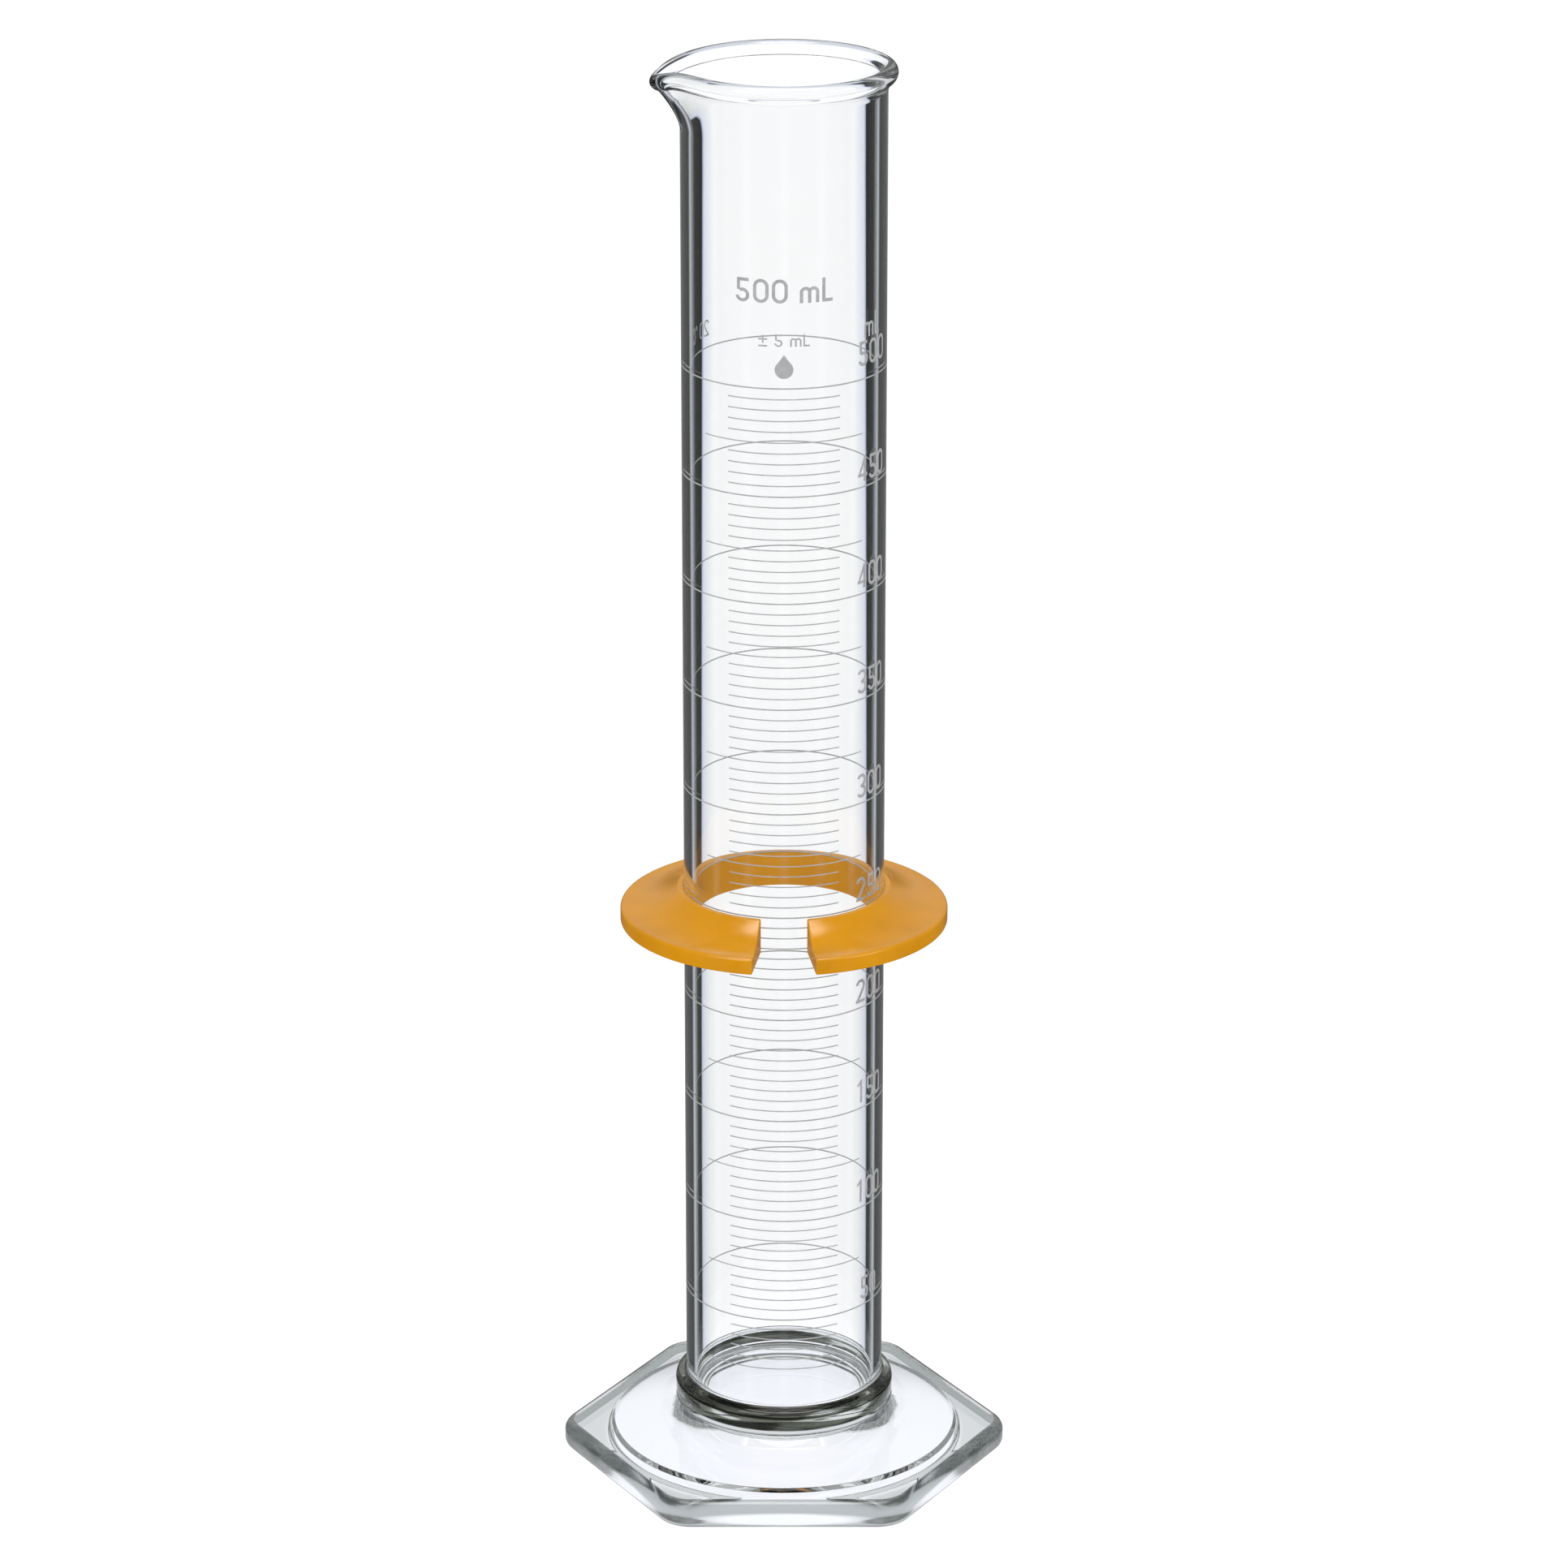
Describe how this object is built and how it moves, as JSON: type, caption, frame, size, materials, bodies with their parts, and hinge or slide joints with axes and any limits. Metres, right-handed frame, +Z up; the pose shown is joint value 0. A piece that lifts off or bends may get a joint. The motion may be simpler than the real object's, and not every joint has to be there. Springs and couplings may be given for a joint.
{
  "type": "graduated cylinder",
  "caption": "Tall glass measuring cylinder with a pour spout, a hexagonal foot, fired graduations and a sliding plastic bumper guard.",
  "frame": {"origin": "on the table, on the barrel's axis, at the middle of the foot's underside", "axes": "+Z up along the barrel; the spout points to -X; the graduations and the guard's gap face -Y"},
  "size_m": [0.1182, 0.105, 0.381],
  "materials": {
    "glass": "clear",
    "guard_plastic": "satin",
    "enamel": "satin"
  },
  "bodies": {
    "cylinder": {"barrel": "glass", "foot": "glass", "ring_050": "enamel", "ring_100": "enamel", "ring_150": "enamel", "ring_200": "enamel", "ring_250": "enamel", "ring_300": "enamel", "ring_350": "enamel", "ring_400": "enamel", "ring_450": "enamel", "ring_500": "enamel", "fine_lines_050": "enamel", "fine_lines_100": "enamel", "fine_lines_150": "enamel", "fine_lines_200": "enamel", "fine_lines_250": "enamel", "fine_lines_300": "enamel", "fine_lines_350": "enamel", "fine_lines_400": "enamel", "fine_lines_450": "enamel", "fine_lines_500": "enamel", "numeral_050": "enamel", "numeral_100": "enamel", "numeral_150": "enamel", "numeral_200": "enamel", "numeral_250": "enamel", "numeral_300": "enamel", "numeral_350": "enamel", "numeral_400": "enamel", "numeral_450": "enamel", "numeral_500": "enamel", "unit_mark": "enamel", "capacity_mark": "enamel", "tolerance_mark": "enamel", "drop_mark": "enamel", "temperature_mark": "enamel"},
    "guard": {"bumper_guard": "guard_plastic"}
  },
  "joints": [
    {"name": "guard_slide", "type": "slide", "parent": "cylinder", "child": "guard", "axis": [0, 0, 1], "range_m": [-0.127, 0.198]}
  ]
}
